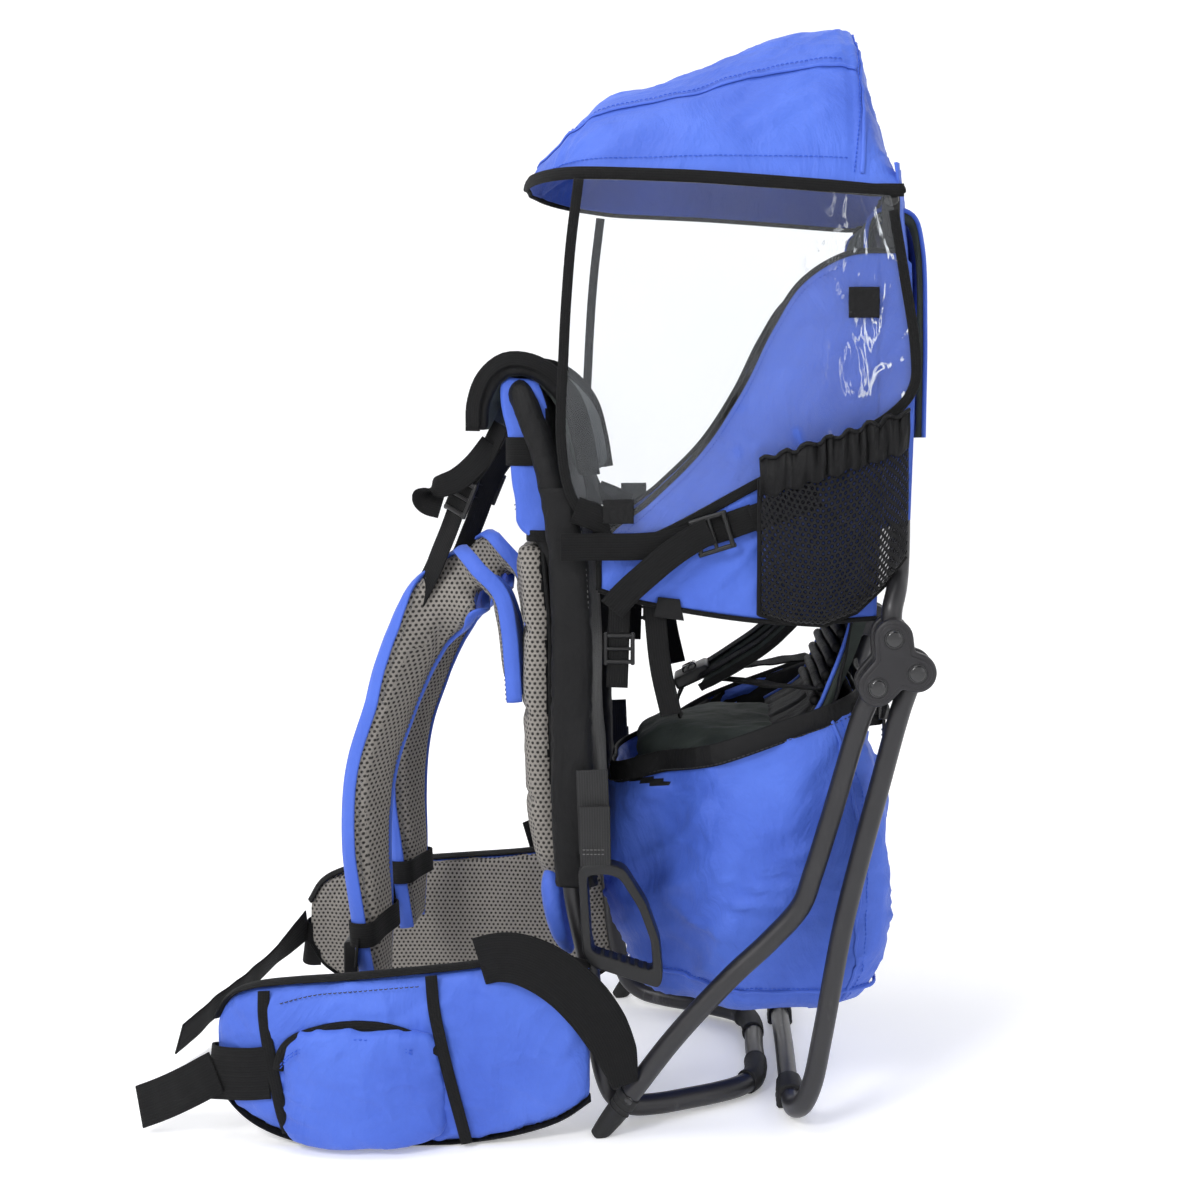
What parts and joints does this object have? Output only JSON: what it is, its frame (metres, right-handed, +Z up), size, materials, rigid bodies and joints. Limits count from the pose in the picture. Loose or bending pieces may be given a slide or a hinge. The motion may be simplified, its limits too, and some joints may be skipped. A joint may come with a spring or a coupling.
{
  "type": "child carrier backpack",
  "caption": "Framed child carrier backpack with sun hood, clear side screens, bucket seat, storage bag, padded hip belt, foot stirrups and a fold-out kickstand.",
  "frame": {"origin": "centre of the bounding box in plan, on the floor the carrier stands on", "axes": "+Z up, -X the way the wearer faces, -Y the wearer's left side"},
  "size_m": [0.7444, 0.412, 1.0483],
  "materials": {
    "frame_tube": "satin charcoal powder coat",
    "bracket_plastic": "dark grey moulded nylon, fine texture",
    "black_plastic": "black moulded acetal",
    "screw_cap": "domed glossy black caps",
    "rubber": "matt black rubber",
    "back_mesh": "warm grey air mesh with round holes",
    "blue_fabric": "royal blue woven nylon with a soft sheen",
    "pad_fabric": "dark green-grey padded fabric",
    "black_webbing": "black woven webbing",
    "grey_webbing": "dark grey woven webbing",
    "black_net": "black open net",
    "clear_sheet": "clear soft vinyl sheet"
  },
  "bodies": {
    "frame": {"main_frame_tube": "frame_tube", "side_tube_left": "frame_tube", "side_tube_right": "frame_tube", "upright_tube": "frame_tube", "bracket_outer_left": "bracket_plastic", "bracket_outer_right": "bracket_plastic", "bracket_inner_left": "bracket_plastic", "bracket_inner_right": "bracket_plastic", "canopy_clip_left": "black_plastic", "canopy_clip_right": "black_plastic", "sternum_buckle_female": "black_plastic", "side_buckle_left": "black_plastic", "side_buckle_right": "black_plastic", "bracket_screw_upper_left": "screw_cap", "bracket_screw_upper_right": "screw_cap", "bracket_screw_lower_left": "screw_cap", "bracket_screw_lower_right": "screw_cap", "kickstand_pivot_pin_left": "screw_cap", "kickstand_pivot_pin_right": "screw_cap", "foot_plug_left": "rubber", "foot_plug_right": "rubber", "back_pad": "back_mesh", "back_panel": "blue_fabric", "shoulder_strap_left": "blue_fabric", "shoulder_strap_right": "blue_fabric", "hip_wing_left": "blue_fabric", "hip_wing_right": "blue_fabric", "hip_pocket_left": "blue_fabric", "hip_pocket_right": "blue_fabric", "storage_bag": "blue_fabric", "seat_back": "blue_fabric", "seat_side_left": "blue_fabric", "seat_side_right": "blue_fabric", "drool_pad": "pad_fabric", "seat_base": "pad_fabric", "harness_strap_left": "pad_fabric", "harness_strap_right": "pad_fabric", "load_lifter_left": "black_webbing", "load_lifter_right": "black_webbing", "hip_tail_left": "black_webbing", "hip_tail_right": "black_webbing", "hip_anchor_strap_left": "black_webbing", "hip_anchor_strap_right": "black_webbing", "side_strap_left": "black_webbing", "side_strap_right": "black_webbing", "stirrup_strap_left": "grey_webbing", "stirrup_strap_right": "grey_webbing", "mesh_pocket_left": "black_net", "mesh_pocket_right": "black_net"},
    "kickstand": {"kickstand_tube": "frame_tube", "kickstand_foot_left": "rubber", "kickstand_foot_right": "rubber"},
    "hood": {"canopy": "blue_fabric", "rain_cover_left": "clear_sheet", "rain_cover_right": "clear_sheet"},
    "stirrup_ring_left": {"stirrup_left": "black_plastic"},
    "stirrup_ring_right": {"stirrup_right": "black_plastic"},
    "sternum_half": {"sternum_strap": "black_webbing", "sternum_buckle_male": "black_plastic"},
    "zip_slider_pull": {"zip_pull": "black_plastic"}
  },
  "joints": [
    {"name": "kickstand_fold", "type": "hinge", "parent": "frame", "child": "kickstand", "pos_m": [0.35416, 0, 0.43], "axis": [0, -1, 0], "range_deg": [0, 29]},
    {"name": "hood_tilt", "type": "hinge", "parent": "frame", "child": "hood", "pos_m": [0.33446, 0, 0.859], "axis": [0, 1, 0], "range_deg": [0, 40]},
    {"name": "stirrup_left_swing", "type": "hinge", "parent": "frame", "child": "stirrup_ring_left", "pos_m": [0.06646, -0.162, 0.249], "axis": [-1, 0, 0], "range_deg": [0, 40]},
    {"name": "stirrup_right_swing", "type": "hinge", "parent": "frame", "child": "stirrup_ring_right", "pos_m": [0.06646, 0.162, 0.249], "axis": [1, 0, 0], "range_deg": [0, 40]},
    {"name": "sternum_buckle_release", "type": "slide", "parent": "frame", "child": "sternum_half", "axis": [0, 1, 0], "range_m": [0, 0.024]},
    {"name": "zip_pull_swing", "type": "hinge", "parent": "frame", "child": "zip_slider_pull", "pos_m": [0.33246, -0.112, 0.382], "axis": [0, -1, 0], "range_deg": [0, 60]}
  ]
}
